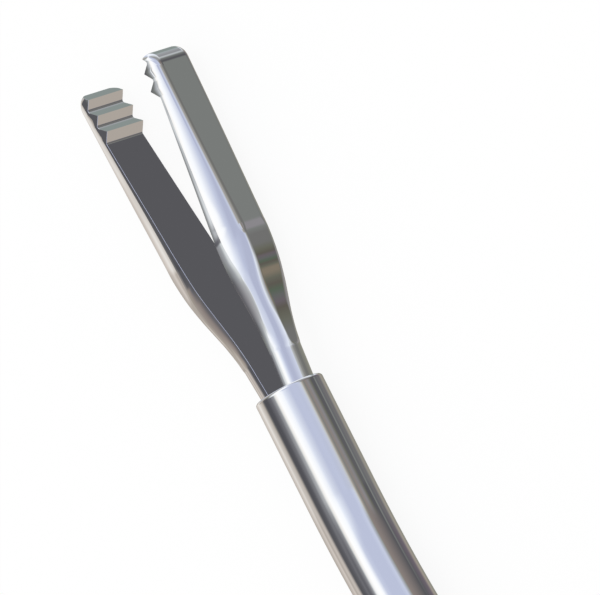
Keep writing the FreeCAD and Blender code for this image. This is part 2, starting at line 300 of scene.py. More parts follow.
# %% The table of sections
# Station, half width at the inner face, height of the upright band beside it, the band's lean in
# degrees at its low and its high line, half width at the back, and half the turn of the side arc.
SECTIONS = np.array([
    (0.00, 0.165, 0.055, -1, 13, 0.000, 39), (1.02, 0.165, 0.055, -1, 13, 0.000, 39),
    (1.05, 0.166, 0.055, -1, 13, 0.041, 33), (1.15, 0.172, 0.060, -1, 12, 0.062, 28),
    (1.30, 0.190, 0.082, -1, 12, 0.087, 25), (1.45, 0.216, 0.112, -1, 12, 0.116, 22),
    (1.60, 0.244, 0.124, -1, 12, 0.141, 20), (1.75, 0.269, 0.115, 0, 12, 0.151, 18),
    (1.90, 0.283, 0.090, 1, 12, 0.154, 16), (2.05, 0.287, 0.072, 2, 11, 0.157, 14),
    (2.20, 0.284, 0.061, 2, 11, 0.161, 12.5), (2.40, 0.2775, 0.051, 2, 11, 0.167, 11.2),
    (2.60, 0.271, 0.043, 2, 10, 0.174, 10), (3.00, 0.260, 0.032, 3, 9, 0.186, 9),
    (3.25, 0.253, 0.026, 6, 9, 0.192, 8.5), (3.40, 0.249, 0.022, 6, 8, 0.195, 8),
    (3.60, 0.243, 0.018, 6, 8, 0.198, 8), (4.00, 0.230, 0.012, 6, 8, 0.203, 8),
])
print("the jaw is widest, at", 2 * SECTIONS[:, 1].max(), "mm, in", len(SECTIONS), "rows")

# %% The rounding along the back's edge
SHARP_EDGE = 0.003
BACK_EDGE = 0.030
TIP_EDGE = 0.085
EDGE_BREAK = 0.0025
# Station and radius: crisp along the stem and the ramp's foot, wider from the elbow on.
EDGES = np.array([(0.0, SHARP_EDGE), (1.25, SHARP_EDGE), (1.45, 0.013), (2.05, 0.015),
                  (2.18, BACK_EDGE), (4.0, BACK_EDGE)])
print("edge radius from", SHARP_EDGE, "to", BACK_EDGE, "mm, and", TIP_EDGE, "round the tip")


# %% Read a table between its rows
def smooth_row(table, x):
    """The table's row at a station, on curves that pass through every row and never overshoot."""
    spots = table[:, 0]
    k = int(np.clip(np.searchsorted(spots, x, side="right") - 1, 0, len(spots) - 2))
    steps = np.diff(spots)[:, None]
    slopes = np.diff(table[:, 1:], axis=0) / steps

    def lean(j):
        if j in (0, len(spots) - 1):
            return slopes[0] * 0 if j == 0 else slopes[-1]
        before, after = slopes[j - 1], slopes[j]
        level = before * after <= 0
        first, second = 2 * steps[j] + steps[j - 1], steps[j] + 2 * steps[j - 1]
        safe_before, safe_after = np.where(level, 1, before), np.where(level, 1, after)
        weighted = (first + second) / (first / safe_before + second / safe_after)
        return np.where(level, 0, weighted)

    t = (x - spots[k]) / steps[k, 0]
    low, high = table[k, 1:], table[k + 1, 1:]
    return ((2 * t**3 - 3 * t**2 + 1) * low + (t**3 - 2 * t**2 + t) * steps[k] * lean(k)
            + (3 * t**2 - 2 * t**3) * high + (t**3 - t**2) * steps[k] * lean(k + 1))


print("half width 2 mm along:", round(float(smooth_row(SECTIONS, 2.0)[0]), 4), "mm")


# %% The arcs of the side
ROUND_TOPPED = 0.001


def side_arcs(x):
    """The band's arc and the side's arc at a station, each as centre height, centre width and
    radius, then the height of the crease where they meet and the back's half width."""
    face = face_line(x)
    face_width, band, low, high, back_width, half_turn = smooth_row(SECTIONS, x)
    low, high, half_turn = math.radians(low), math.radians(high), math.radians(half_turn)
    back, _ = back_line(x)
    radius = band / (math.sin(high) - math.sin(low))
    centre = (face - radius * math.sin(low), face_width - radius * math.cos(low))
    line, width = face + band, centre[1] + radius * math.cos(high)
    chord = math.atan2(width - back_width, back - line)
    if back_width < ROUND_TOPPED:
        half_turn = math.pi / 2 - chord
    side_radius = math.hypot(back - line, width - back_width) / (2 * math.sin(half_turn))
    start = chord - half_turn
    side_centre = (line - side_radius * math.sin(start), width - side_radius * math.cos(start))
    return (*centre, radius), (*side_centre, side_radius), line, float(back_width)


print("crease 2 mm along:", round(side_arcs(2.0)[2], 4), "mm above the mid plane")

# %% The width at a height
LEAST_WIDTH = 1e-4


def side_width(y, arcs, inset):
    """Half the jaw's width at a height. A negative inset moves the side inwards."""
    centre_y, centre_z, radius = arcs[0] if y < arcs[2] else arcs[1]
    rest = (radius + inset) ** 2 - (y - centre_y) ** 2
    return max(centre_z + math.sqrt(max(rest, 0)), LEAST_WIDTH)


sample = side_arcs(2.0)
print("half width at the crease:", round(side_width(sample[2], sample, 0), 4), "mm")

# %% [markdown]
# ## The back's edge and the whole section
# On the stem the side arc just runs on over the top. Further out a small arc leads from the side
# to the flat back. It grows wider round the nose, where it meets the tip. All sections have the
# same number of points in the same order, so that ring can be joined to ring, and the points that
# lie on an edge of the real jaw stay on that edge from the stem to the tip. Where the side runs
# out at the tip, its points fall on one another and are kept as one, and the last section of all
# is a mere line, which closes the jaw without a cap.

# %% The top of the stem
ROUND_STEPS = 7
# Where the back is narrower than this, the section is round on top, and its top points stand
# between the two distances from the middle.
NARROW_BACK = 0.014
TOP_OUT, TOP_IN = 0.0125, 0.0025
HAIR = 1e-5


def round_top(side_arc):
    """The stem's top: points on the side arc, the top's height, and no inset of the side."""
    centre_y, centre_z, radius = side_arc
    crown = []
    for k in range(ROUND_STEPS + 1):
        z = TOP_OUT - (TOP_OUT - TOP_IN) * k / ROUND_STEPS
        crown.append((centre_y + math.sqrt(radius**2 - (z - centre_z) ** 2), z))
    return crown, min(crown[-1][0] + HAIR, centre_y + radius), 0.0


print("the stem's top is", round(round_top(side_arcs(0.5)[1])[1], 4), "mm high")

# %% The edge of the back
WIDEST_ROUND = 0.3


def rounded_back(x, face, arcs):
    """The arc from the side to the back: its points, the back's height and the side's inset."""
    back, slope = back_line(x)
    edge = float(smooth_row(EDGES, x)[0])
    last = math.pi / 2
    on_nose = x > NOSE_START
    if on_nose:
        share = (x - NOSE_START) / (JAW_LENGTH - NOSE_START)
        edge += (TIP_EDGE - edge) * share * share
        depth = math.hypot(x - NOSE_X, max(face - NOSE_Y, 0)) - NOSE
        last = math.acos(min(max((depth + edge) / edge, 0), 1))
    else:
        edge = min(edge, WIDEST_ROUND * arcs[3])
    crown = []
    for k in range(ROUND_STEPS + 1):
        turn = last * (1 - k / ROUND_STEPS)
        drop = edge * (math.cos(turn) - 1)
        if on_nose:
            y = NOSE_Y + math.sqrt(max((NOSE + drop) ** 2 - (x - NOSE_X) ** 2, 0))
            y = max(y, face)
        else:
            y = back + drop * math.sqrt(1 + slope * slope)
        crown.append((y, side_width(y, arcs, edge * (math.sin(turn) - 1))))
    return crown, crown[-1][0], edge * (math.sin(last) - 1)


middle = rounded_back(3.0, face_line(3.0), side_arcs(3.0))
print("the back's edge moves in by", round(middle[0][0][1] - middle[0][-1][1], 4), "mm at 3 mm")

# %% Half a section, from the middle of the inner face to the middle of the back
# A strip of narrow faces beside an edge keeps the shading of the flat next to it flat.
BAND_STEPS = 6
SIDE_STEPS = 18
EDGE_STRIP = 0.004
# The most that the band, the broken edge and the strip on the back may take of their sides.
BAND_SHARE, BREAK_SHARE, STRIP_SHARE = 0.5, 0.4, 0.4
FACE_CORNER = 3
BAND_LINE = FACE_CORNER + 1 + BAND_STEPS


def half_section(x, face):
    """Points (height, half width) across the jaw at a station."""
    arcs = side_arcs(x)
    side_y, _, side_radius = arcs[1]
    round_topped = arcs[3] < NARROW_BACK
    crown, flat_y, inset = round_top(arcs[1]) if round_topped else rounded_back(x, face, arcs)
    top_y, flat_z = crown[0][0], crown[-1][1]
    corner_z = side_width(face, arcs, inset)
    crease = min(arcs[2], face + BAND_SHARE * (top_y - face))
    broken = min(EDGE_BREAK, BREAK_SHARE * max(crease - face, 0))
    corner = corner_z - broken
    flat = corner - EDGE_STRIP
    outline = [(face, z) for z in (0.0, flat / 2, flat, corner)]
    for k in range(BAND_STEPS):
        y = face + broken + (crease - face - broken) * k / BAND_STEPS
        outline.append((y, side_width(y, arcs, inset)))
    radius = side_radius + inset
    start = math.asin(np.clip((crease - side_y) / radius, -1, 1))
    stop = math.asin(np.clip((top_y - side_y) / radius, -1, 1))
    for k in range(SIDE_STEPS):
        y = side_y + radius * math.sin(start + (stop - start) * k / SIDE_STEPS)
        outline.append((y, side_width(y, arcs, inset)))
    inner = max(flat_z - EDGE_STRIP, flat_z * (1 - STRIP_SHARE))
    return outline + crown + [(flat_y, z) for z in (inner, inner / 2, 0.0)]


print("half a section has", len(half_section(3.0, face_line(3.0))), "points")

# %% [markdown]
# ## Stations along the jaw
# Even steps would be the simplest, but they waste sections on the straight parts and miss the
# corners. Here the sections stand wide apart along the stem and the blade, close together along
# the flare and the elbow, where the mirror bends most, and closer still round the nose. One
# stands at each corner of the teeth, and the last where the nose comes down to the inner side.

# %% Where the jaw ends
HALVINGS = 40


def tip_end(xs, ys):
    """The station where the nose comes down to the inner side's line, rounded up so that the
    last section is sure to be a line."""
    low, high = NOSE_START, JAW_LENGTH
    for _ in range(HALVINGS):
        middle = (low + high) / 2
        nose = NOSE_Y + math.sqrt(max(NOSE**2 - (middle - NOSE_X) ** 2, 0))
        low, high = (middle, high) if nose > np.interp(middle, xs, ys) else (low, middle)
    return math.ceil(low * 1e6) / 1e6


sample = np.array([point[:2] for point in inner_line(CREST_SETBACK)])
print("the left jaw ends at", round(tip_end(sample[:, 0], sample[:, 1]), 4), "mm")


# %% All stations of a jaw
CLOSEST = 0.0008
ALONG_STEM = np.linspace(0, 0.9, 4)
ALONG_FLARE = np.arange(0.95, 2.2, 0.012)
ALONG_BLADE = np.arange(2.2, 3.5, 0.05)
ROUND_NOSE = np.linspace(FALL, math.pi / 2, 26)
ROUND_TIP = np.linspace(0.2, math.pi / 2, 12)


def jaw_stations(inner, end):
    """All stations of a jaw, each with whether the inner side turns sharply there."""
    extra = [*ALONG_STEM, *ALONG_FLARE, *ALONG_BLADE, RAMP_END[0], ELBOW_END[0], FOOT_END[0]]
    extra += [NOSE_X + NOSE * math.sin(t) for t in ROUND_NOSE]
    extra += [end - TIP_EDGE * (1 - math.sin(t)) for t in ROUND_TIP]
    stations = {round(x, 6): sharp for x, _, sharp in inner}
    stations = {x: sharp for x, sharp in stations.items() if x < end - CLOSEST}
    stations[end] = False
    for x in (round(float(x), 6) for x in extra):
        if x <= end and all(abs(x - other) > CLOSEST for other in stations):
            stations[x] = False
    return stations


print("sections stand at least", CLOSEST, "mm apart")


# %% The jaw's mesh
def jaw_mesh(name, setback, place):
    """A whole jaw as one closed surface, its sections mirrored about the middle."""
    inner = inner_line(setback)
    xs, ys = np.array([p[0] for p in inner]), np.array([p[1] for p in inner])
    stations = jaw_stations(inner, tip_end(xs, ys))
    order = sorted(stations)
    points, rings = [], []
    for x in order:
        half = half_section(x, float(np.interp(x, xs, ys)))
        outline = half + [(y, -z) for y, z in half[-2:0:-1]]
        rings.append(add_ring(points, [place((x, y, z)) for y, z in outline]))
    mesh = join_rings(name, points, rings)
    count = len(rings[0])
    corners = [FACE_CORNER, FACE_CORNER + 1, BAND_LINE]
    corners += [count - k for k in corners]
    sharp = ring_edges(rings[0]) | ring_edges(rings[-1])
    for first, second in zip(rings, rings[1:]):
        sharp |= {frozenset((first[k], second[k])) for k in corners}
    for x, ring in zip(order, rings):
        if stations[x]:
            sharp |= ring_edges(ring, range(-FACE_CORNER - 1, FACE_CORNER + 1))
    shade(mesh, sharp)
    return mesh


# %% [markdown]
# ## Two jaws from one
# The real jaws are a pair from the same grinding, one turned over, with the teeth of one moved by
# half a pitch so that they mesh. Drawing the jaw once, closed and along the axis, and swinging
# each copy out about the pivot keeps both the same. A mirrored copy would have the wrong teeth.

# %% Swing a closed jaw open
def swung(side):
    """Carries a point of the closed jaw to its spread place: side 1 is left, -1 is right."""
    cos, sin = math.cos(SPREAD * side), math.sin(SPREAD * side)

    def place(p):
        x, y, z = p[0], p[1] * side, p[2] * side
        return (PIVOT + np.array([cos * x - sin * y, sin * x + cos * y, z])) * MM

    return place


left = add_piece(jaw_mesh("left_jaw_steel", CREST_SETBACK, swung(1)),
                 "left_jaw", "left")
right = add_piece(jaw_mesh("right_jaw_steel", CREST_SETBACK - PITCH / 2, swung(-1)),
                  "right_jaw", "right")

# %% [markdown]
# ## Round pieces along a bent line
# The tube and the wire are drawn round and then bent together by a few degrees a little way
# behind the mouth. A curve object with a round bevel could make them, but its ends are plain and
# its mouth can't be rounded. So rings of points are carried along the centre line, each with its
# place, its heading and its own radius, and the profile at the ends is part of the same run.

# %% The centre line
BEND_START = 1.0417
BEND_RADIUS = 13.5
BEND_ANGLE = math.radians(8.0)
BEND_STEPS = 24
REAR_LENGTH = 9.1


def centre_line(rear, start):
    """Places and headings behind the mouth, from a start to the rear end after the bend."""
    spots = [(-start, 0.0, 0.0), (-BEND_START, 0.0, 0.0)]
    for k in range(1, BEND_STEPS + 1):
        turn = BEND_ANGLE * k / BEND_STEPS
        spots.append((-BEND_START - BEND_RADIUS * math.sin(turn),
                      BEND_RADIUS * (math.cos(turn) - 1), turn))
    return spots + [behind(spots[-1], rear)]


def behind(spot, distance):
    """The spot that lies a distance behind another, along its heading."""
    x, y, turn = spot
    return (x - distance * math.cos(turn), y - distance * math.sin(turn), turn)


print("the line ends at", np.round(centre_line(REAR_LENGTH, 0.0)[-1][:2], 3), "mm from the mouth")

# %% Carry rings along the line
RING_POINTS = 112


def round_mesh(name, outlines, loop):
    """A surface of rings, each with its spot, its radius and whether it is a sharp edge."""
    points, rings = [], []
    for (x, y, turn), radius, _ in outlines:
        outline = []
        for k in range(RING_POINTS):
            angle = 2 * math.pi * k / RING_POINTS
            side = radius * math.cos(angle)
            at = np.array([x - side * math.sin(turn), y + side * math.cos(turn),
                           radius * math.sin(angle)])
            outline.append((MOUTH + at) * MM)
        rings.append(add_ring(points, outline))
    mesh = join_rings(name, points, rings, loop)
    sharp = set()
    for (_, _, is_sharp), ring in zip(outlines, rings):
        if is_sharp:
            sharp |= ring_edges(ring)
    shade(mesh, sharp)
    return mesh


# %% [markdown]
# ## The tube
# The outer tube is a thin-walled drawn stainless tube of 0.64 mm. Its mouth is rounded over and
# polished, so that it slides up the ramps without catching, and this shows as a thin bright ring.
# The profile runs from the outside over the mouth's round, in through the bore, out at the cut
# rear end and back along the outside. As a loop it has no caps, and the bore is really open.

# %% The tube's rings
TUBE_RADIUS = 0.32
BORE_RADIUS = 0.286
MOUTH_ROUND = 0.029
BORE_BREAK = 0.004
MOUTH_STEPS = 8
BREAK_STEPS = 3


def tube_outlines():
    """The tube's rings: the mouth's round, the bore, the rear end and the outside."""
    mouth = (0.0, 0.0, 0.0)
    rings = []
    for k in range(MOUTH_STEPS + 1):
        t = math.pi / 2 * k / MOUTH_STEPS
        rings.append((behind(mouth, MOUTH_ROUND * (1 - math.sin(t))),
                      TUBE_RADIUS - MOUTH_ROUND * (1 - math.cos(t)), False))
    for k in range(BREAK_STEPS + 1):
        t = math.pi / 2 * k / BREAK_STEPS
        rings.append((behind(mouth, BORE_BREAK * (1 - math.cos(t))),
                      BORE_RADIUS + BORE_BREAK * (1 - math.sin(t)), False))
    path = centre_line(REAR_LENGTH, 0.0)
    rings += [(spot, BORE_RADIUS, False) for spot in path[1:-1]]
    rings += [(path[-1], BORE_RADIUS, True), (path[-1], TUBE_RADIUS, True)]
    rings += [(spot, TUBE_RADIUS, False) for spot in reversed(path[1:-1])]
    rings.append((behind(mouth, MOUTH_ROUND + EDGE_STRIP), TUBE_RADIUS, False))
    return rings


tube = add_piece(round_mesh("outer_tube_steel", tube_outlines(), True),
                 "outer_tube", "tube")

# %% [markdown]
# ## The wire
# Nothing of it shows in the photograph, but the jaws need something in the tube that holds them
# still. A plain drawn wire with a small turned head stands for it, and its rear end looks out of
# the tube. It follows the same bend. Its ends are closed by a last, very small ring and a cap.

# %% The wire's rings
WIRE_RADIUS = 0.15
TAIL = 1.8
HEAD_RADIUS = 0.225
HEAD_LENGTH = 0.24
HEAD_ROUND = 0.03
HEAD_STEPS = 6
HEAD_CLEAR = 0.075
HEAD_BACK = BEND_START - HEAD_CLEAR
HEAD_FACE = HEAD_BACK - HEAD_LENGTH
CAP_RADIUS = 0.02


def core_outlines():
    """The wire's rings: the head's face and round, its back, and the wire itself."""
    face, back = (-HEAD_FACE, 0.0, 0.0), (-HEAD_BACK, 0.0, 0.0)
    flat = HEAD_RADIUS - HEAD_ROUND - EDGE_STRIP
    quarter = [math.pi / 2 * k / HEAD_STEPS for k in range(HEAD_STEPS + 1)]
    rings = [(face, CAP_RADIUS, False), (face, flat, False)]
    rings += [(behind(face, HEAD_ROUND * (1 - math.cos(t))),
               HEAD_RADIUS - HEAD_ROUND * (1 - math.sin(t)), False) for t in quarter]
    rings += [(behind(back, -HEAD_ROUND * (1 - math.sin(t))),
               HEAD_RADIUS - HEAD_ROUND * (1 - math.cos(t)), False) for t in quarter]
    rings.append((back, flat, False))
    path = centre_line(REAR_LENGTH + TAIL, HEAD_BACK)
    rings.append((path[0], WIRE_RADIUS, True))
    rings += [(spot, WIRE_RADIUS, False) for spot in path[1:-1]]
    return rings + [(path[-1], WIRE_RADIUS, True), (path[-1], CAP_RADIUS, False)]


core = add_piece(round_mesh("core_wire_steel", core_outlines(), False),
                 "core_wire", "core")

# %% [markdown]
# ## Colours and nodes
# Colours are written as a maker would read them off a chart, as sRGB hex, while Blender's sockets
# want linear values, so one function turns the one into the other. One more small function adds a
# node with its settings and links. That keeps each material to a few lines that can be read from
# top to bottom.

# %% From a hex colour to a linear one
def linear(code):
    """A linear colour from an sRGB hex code."""
    out = []
    for k in (0, 2, 4):
        v = int(code[k:k + 2], 16) / 255
        out.append(v / 12.92 if v <= 0.04045 else ((v + 0.055) / 1.055) ** 2.4)
    return (*out, 1.0)


print("the middle grey 808080 is", round(linear("808080")[0], 3), "in linear light")


# %% Add a node
def add_node(tree, kind, sockets=None, **settings):
    """A node with its settings. A socket takes a value, or a link from another node's socket."""
    node = tree.nodes.new(kind)
    for key, setting in settings.items():
        setattr(node, key, setting)
    for key, given in (sockets or {}).items():
        if isinstance(given, bpy.types.NodeSocket):
            tree.links.new(given, node.inputs[key])
        else:
            node.inputs[key].default_value = given
    return node


# %% [markdown]
# ## The steel
# All pieces are stainless steel. The tube is cold drawn and polished, the jaws are ground and
# polished, and the wire is left as drawn. Polishing gives the eye sharp, bright reflections.
# Drawing and grinding leave lines along the piece, a few thousandths of a millimetre apart, which
# smear each reflection slightly across them. The polish is never quite even, so the sharpness
# changes a little from patch to patch. A picture of scratches would do it too. Noise stretched
# along the piece needs no picture and no unwrapping, and it follows the piece when it moves.

# %% Real sizes of the lines
# The real lines are 0.002 to 0.005 mm apart. In the render a pixel is about 0.009 mm, so lines
# that fine would never show, and they are drawn as coarse as a pixel needs, 0.011 and 0.008 mm
# apart. Each runs for about half a millimetre. A fresh one is a thousandth of a millimetre deep,
# and polishing leaves the small share of it that each steel's relief strength gives. The patches
# of uneven polish are about 0.4 mm wide, about the width of one pass of the wheel.
LINE_SPACING = 1 / 90
WIRE_LINE_SPACING = 1 / 120
LINE_LENGTH = 0.5
POLISH_PATCH = 1 / 2.6
LINE_DEPTH = 0.001


def per_metre(size):
    """A noise scale from a size in millimetres."""
    return 1 / (size * MM)


print("lines per metre:", round(per_metre(LINE_SPACING)), "across and",
      round(per_metre(LINE_LENGTH)), "along")


# %% A steel with lines along it
# The product of the two noises hardly leaves this range.
NOISE_LOW, NOISE_HIGH = 0.1, 0.45
LINE_DETAIL, PATCH_DETAIL = 3.0, 2.0


def steel(name, colour, sharpest, dullest, spacing, relief_strength):
    """Steel whose roughness runs from sharpest to dullest, with lines at the given spacing."""
    material = bpy.data.materials.new(name)
    material.use_nodes = True
    tree = material.node_tree
    tree.nodes.clear()
    place = add_node(tree, "ShaderNodeTexCoord").outputs["Object"]
    stretched = add_node(tree, "ShaderNodeMapping", {"Vector": place, "Scale": (
        per_metre(LINE_LENGTH), per_metre(spacing), per_metre(spacing))})
    lines = add_node(tree, "ShaderNodeTexNoise", {
        "Vector": stretched.outputs[0], "Scale": 1.0, "Detail": LINE_DETAIL})
    patches = add_node(tree, "ShaderNodeTexNoise", {
        "Vector": place, "Scale": per_metre(POLISH_PATCH), "Detail": PATCH_DETAIL})
    both = add_node(tree, "ShaderNodeMath", {0: lines.outputs[0], 1: patches.outputs[0]},
                    operation="MULTIPLY")
    rough = add_node(tree, "ShaderNodeMapRange", {
        "Value": both.outputs[0], "From Min": NOISE_LOW, "From Max": NOISE_HIGH,
        "To Min": sharpest, "To Max": dullest})
    relief = add_node(tree, "ShaderNodeBump", {
        "Height": lines.outputs[0], "Strength": relief_strength, "Distance": LINE_DEPTH * MM})
    surface = add_node(tree, "ShaderNodeBsdfPrincipled", {
        "Base Color": linear(colour), "Metallic": 1.0,
        "Roughness": rough.outputs[0], "Normal": relief.outputs[0]})
    add_node(tree, "ShaderNodeOutputMaterial", {"Surface": surface.outputs[0]})
    print(name, "has roughness", sharpest, "to", dullest)
    return material


# %% The three steels
# Polished stainless steel gives back most of the light and is nearly neutral. It is written a
# little paler than a chart's value, so that the studio's tones come back as they are written. A
# typical roughness for such a polish is 0.05. The photograph shows reflections so crisp that less
# is needed. The drawn wire isn't polished, so its reflections are wide and soft. The IOR stays
# at its default, as it should for a metal.
TUBE_STEEL = steel("polished_tube_steel", "F2F2F2", 0.012, 0.03, LINE_SPACING, 0.01)
JAW_STEEL = steel("polished_jaw_steel", "F2F2F2", 0.01, 0.024, LINE_SPACING, 0.008)
WIRE_STEEL = steel("drawn_wire_steel", "E4E4E4", 0.12, 0.22, WIRE_LINE_SPACING, 0.05)

# %% Put the steel on the pieces and on the solids under them
for piece, node, material in ((tube, "outer_tube", TUBE_STEEL), (core, "core_wire", WIRE_STEEL),
                              (left, "left_jaw", JAW_STEEL), (right, "right_jaw", JAW_STEEL)):
    for made in (piece, frame["nodes"][node]):
        made.data.materials.clear()
        made.data.materials.append(material)
    print(piece.name, "is made of", material.name)

# %% [markdown]
# ## The studio's tones
# A mirror has no look of its own: what is seen on this steel is the room around it. So the room
# has to be right before the steel can be. The photograph shows a white lamp, a cool sky, warm
# walls and dark screens, in long soft strips. A picture of a room could be wrapped round the
# scene. Here the room is a plain studio written as rows of strips, each strip an angle and the
# name of a tone, so that it can be read and changed. These are the tones.

# %% The tones by name
STUDIO = {
    "lamp": "FFFFFF", "lamp edge": "F7FAFF", "haze": "E3E9F6", "pale sky": "D4DAEA",
    "sky": "C5CCE1", "deep sky": "BAC1D9", "dusk": "B0B6CE", "cream": "E6E2DD",
    "plaster": "D0C8C1", "warm wall": "C0B8B1", "tan": "AEA69E", "bench": "9E968C",
    "brown": "8A807C", "shelf": "84796A", "silver": "D0D4D6", "cloud": "B4B8BB",
    "mist": "9C9FA3", "smoke": "8C8D91", "grey": "787B79", "ash": "6F6F6E", "slate": "64646A",
    "coal": "56565A", "night": "4E4E53", "reed": "86867C", "olive": "66675C",
    "loam": "5C5851", "fern": "556556", "sage": "868F8D", "fog": "9CA7A8", "mauve": "6B636C",
    "lilac": "89878B", "chalk": "C8CCCC",
}
print("the studio has", len(STUDIO), "tones")

# %% [markdown]
# ## The strips overhead
# These strips run along the instrument, and their angles go round its axis: 0 is the far side,
# 90 overhead, 180 the near side and -90 below. What a piece mirrors depends on how far its
# surface leans towards the tips, so the room changes along its length as well. There is one row
# for each part of the room. Each is named for the piece that looks into it from the camera's side.

# %% The row that the tube looks into
# The warm far wall, a dark screen, the white lamp, the cool sky and the brown bench.
OVER_TUBE = [
    (-180, "bench"), (-175, "grey"), (-170, "brown"), (-160, "lilac"), (-150, "olive"),
    (-145, "coal"), (-134, "coal"), (-124, "slate"), (-112, "ash"), (-106.5, "mauve"),
    (-101.5, "grey"), (-90, "bench"), (-75, "reed"), (-15, "plaster"), (0, "cream"),
    (24, "tan"), (30, "ash"), (34.7, "night"), (47, "night"), (64, "slate"),
    (75.5, "smoke"), (79, "chalk"), (81, "cream"), (90, "lamp"), (106, "lamp edge"),
    (113, "haze"), (121, "pale sky"), (135, "deep sky"), (160, "deep sky"), (170, "sky"),
    (174.8, "chalk"), (180, "bench"),
]
print("strips over the tube:", len(OVER_TUBE))

# %% The rows that the jaws look into
# Where the upright bands beside the inner faces look, the lamp comes nearer.
OVER_BANDS = [
    (-180, "brown"), (-136, "coal"), (-106, "mauve"), (-91, "bench"), (-75, "reed"),
    (-40, "bench"), (-20, "plaster"), (-9, "cream"), (3, "plaster"), (11, "tan"),
    (24, "tan"), (30, "coal"), (48, "coal"), (56, "grey"), (60, "mist"), (65, "silver"),
    (76, "lamp edge"), (94, "lamp"), (101, "lamp edge"), (112, "sky"), (124, "deep sky"),
    (155, "deep sky"), (167, "sky"), (180, "reed"),
]
# Where the jaws' sides look, there is a narrower lamp and a sooner sky.
OVER_JAWS = [
    (-180, "bench"), (-175, "smoke"), (-171, "reed"), (-160, "ash"), (-150, "ash"),
    (-105, "grey"), (-90, "reed"), (-30, "tan"), (-12, "warm wall"), (-3, "plaster"),
    (9, "tan"), (15, "warm wall"), (23, "warm wall"), (34, "coal"), (42, "coal"),
    (50, "slate"), (57, "smoke"), (64, "mist"), (69, "silver"), (85, "lamp"),
    (96, "lamp edge"), (110, "sky"), (118, "dusk"), (126, "dusk"), (150, "sky"),
    (162, "cloud"), (172, "bench"), (180, "mist"),
]
print("strips over the jaws:", len(OVER_BANDS), "and", len(OVER_JAWS))

# %% The rows that the narrow parts look into
# Where the flared necks and the stems' lower bands look.
OVER_NECKS = [
    (-180, "cloud"), (-160, "reed"), (-145, "ash"), (-90, "reed"), (-20, "tan"), (5, "tan"),
    (15, "warm wall"), (30, "bench"), (36, "brown"), (41, "slate"), (46, "coal"),
    (52, "grey"), (63, "mist"), (69, "silver"), (80, "lamp edge"), (90, "lamp edge"),
    (100, "haze"), (117, "deep sky"), (130, "dusk"), (142, "dusk"), (180, "sky"),
]
# Where the flare faces back along the tube.
OVER_FLARE = [
    (-180, "chalk"), (-160, "lilac"), (-153, "smoke"), (-145, "grey"), (-130, "olive"),
    (-115, "lilac"), (-55, "tan"), (-25, "warm wall"), (-6, "plaster"), (0, "tan"),
    (15, "bench"), (22, "tan"), (40, "brown"), (50, "coal"), (63, "mist"), (69, "chalk"),
    (75, "lamp edge"), (80, "lamp edge"), (93, "haze"), (118, "deep sky"), (129, "dusk"),
    (145, "dusk"), (180, "pale sky"),
]
print("strips over the necks and the flare:", len(OVER_NECKS), "and", len(OVER_FLARE))

# %% The rows at the room's two ends
# Behind the instrument, where only surfaces that lean far back look.
OVER_BACK = [
    (-180, "pale sky"), (-168, "silver"), (-160, "cloud"), (-150, "mist"), (-141, "shelf"),
    (-135, "olive"), (-125, "olive"), (-70, "bench"), (20, "bench"), (40, "brown"),
    (48, "slate"), (57, "lilac"), (80, "silver"), (85, "haze"), (90, "pale sky"),
    (115, "sky"), (124, "dusk"), (145, "dusk"), (180, "haze"),
]
# Past the tips: bright overhead and below, dimmer to the far and the near side.
OVER_ENDS = [
    (-180, "mist"), (-150, "smoke"), (-120, "silver"), (-90, "haze"), (-58, "lamp edge"),
    (-40, "sky"), (-10, "cloud"), (10, "tan"), (25, "bench"), (40, "reed"), (52, "mist"),
    (66, "chalk"), (78, "lamp"), (120, "lamp edge"), (140, "sky"), (165, "deep sky"),
    (180, "mist"),
]
print("strips over the ends:", len(OVER_BACK), "and", len(OVER_ENDS))

# %% [markdown]
# ## The strips low down
# The jaws' ramps, inner faces and backs stand upright. Such a surface sends a ray on with the
# fall that it came with, so from the camera they all look down to one height in the room, and
# only their heading differs. A ring of strips at that height gives each of them its own tone, and
# the elbow, whose heading turns quickly, its row of thin coloured lines. These angles go round
# the room like a compass: 0 is past the tips, 90 the far side, -90 the near side.

# %% The low ring
# The tan bench end, a slate screen, dim shelves, the grey floor and a pale door.
LOW_DOWN = [
    (-180, "bench"), (-150, "tan"), (-146, "slate"), (-114, "slate"), (-110, "shelf"),
    (-108.6, "shelf"), (-107, "olive"), (-105.4, "loam"), (-103.7, "fern"),
    (-101.8, "mauve"), (-100, "loam"), (-97.5, "olive"), (-94, "ash"), (-88.5, "ash"),
    (-85.5, "grey"), (-84.5, "lilac"), (-81.2, "lilac"), (-80.5, "grey"), (-77, "grey"),
    (-69, "coal"), (-62, "coal"), (-45, "grey"), (-37, "cloud"), (-31, "cloud"),
    (-25, "smoke"), (0, "mist"), (8, "fog"), (16, "sage"), (100, "sage"), (180, "bench"),
]
LOW_HEIGHT = -0.758
LOW_FULL, LOW_GONE = 0.02, 0.052
used = {tone for row in (OVER_TUBE, OVER_BANDS, OVER_JAWS, OVER_NECKS, OVER_FLARE, OVER_BACK,
                         OVER_ENDS, LOW_DOWN) for _, tone in row}
print("strips low down:", len(LOW_DOWN), "and tones without a strip:", sorted(set(STUDIO) - used))

# %% [markdown]
# ## The room around the steel
# The world's shader gets the direction that a ray leaves in. Two angles are worked out from it,
# one round the instrument's axis and one round the room, and each row of strips becomes a colour
# ramp over its angle. The rows are then blended by how far the direction points to the tips.

